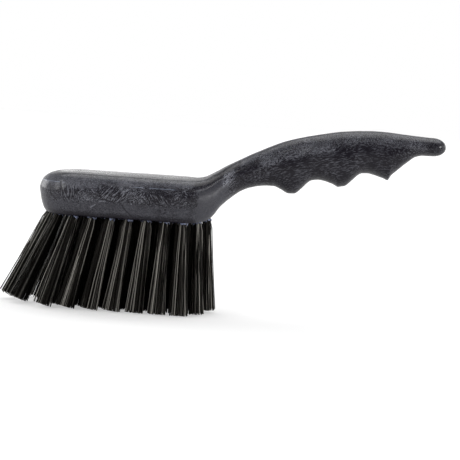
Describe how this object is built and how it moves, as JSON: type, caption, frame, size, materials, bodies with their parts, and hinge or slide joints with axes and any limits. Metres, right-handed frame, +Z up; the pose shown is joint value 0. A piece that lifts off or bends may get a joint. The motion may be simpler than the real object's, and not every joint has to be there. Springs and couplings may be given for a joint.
{
  "type": "scrub brush",
  "caption": "Black one-handed scrub brush: thick block and raised finger-grip handle in one moulding, with rows of stiff black bristles fanned towards the nose.",
  "frame": {"origin": "on the surface that the brush stands on, under the middle of its bounding box, with the brush standing on its bristle tips", "axes": "+X along the brush from the block's nose to the handle's butt, +Y across the block, +Z up from the bristle tips to the block's flat top"},
  "size_m": [0.2318, 0.0588, 0.1035],
  "materials": {
    "moulding": "black foamed polypropylene, satin with faint flow marks",
    "bristles": "black polypropylene filament, satin, trimmed square"
  },
  "bodies": {
    "root": {"block_and_handle": "moulding", "tuft_row1_1": "bristles", "tuft_row1_2": "bristles", "tuft_row1_3": "bristles", "tuft_row1_4": "bristles", "tuft_row1_5": "bristles", "tuft_row1_6": "bristles", "tuft_row1_7": "bristles", "tuft_row2_1": "bristles", "tuft_row2_2": "bristles", "tuft_row2_3": "bristles", "tuft_row2_4": "bristles", "tuft_row2_5": "bristles", "tuft_row2_6": "bristles", "tuft_row2_7": "bristles", "tuft_row2_8": "bristles", "tuft_row3_1": "bristles", "tuft_row3_2": "bristles", "tuft_row3_3": "bristles", "tuft_row3_4": "bristles", "tuft_row3_5": "bristles", "tuft_row3_6": "bristles", "tuft_row3_7": "bristles", "tuft_row3_8": "bristles", "tuft_row3_9": "bristles", "tuft_row4_1": "bristles", "tuft_row4_2": "bristles", "tuft_row4_3": "bristles", "tuft_row4_4": "bristles", "tuft_row4_5": "bristles", "tuft_row4_6": "bristles", "tuft_row4_7": "bristles", "tuft_row4_8": "bristles", "tuft_row5_1": "bristles", "tuft_row5_2": "bristles", "tuft_row5_3": "bristles", "tuft_row5_4": "bristles", "tuft_row5_5": "bristles", "tuft_row5_6": "bristles", "tuft_row5_7": "bristles"}
  },
  "joints": []
}
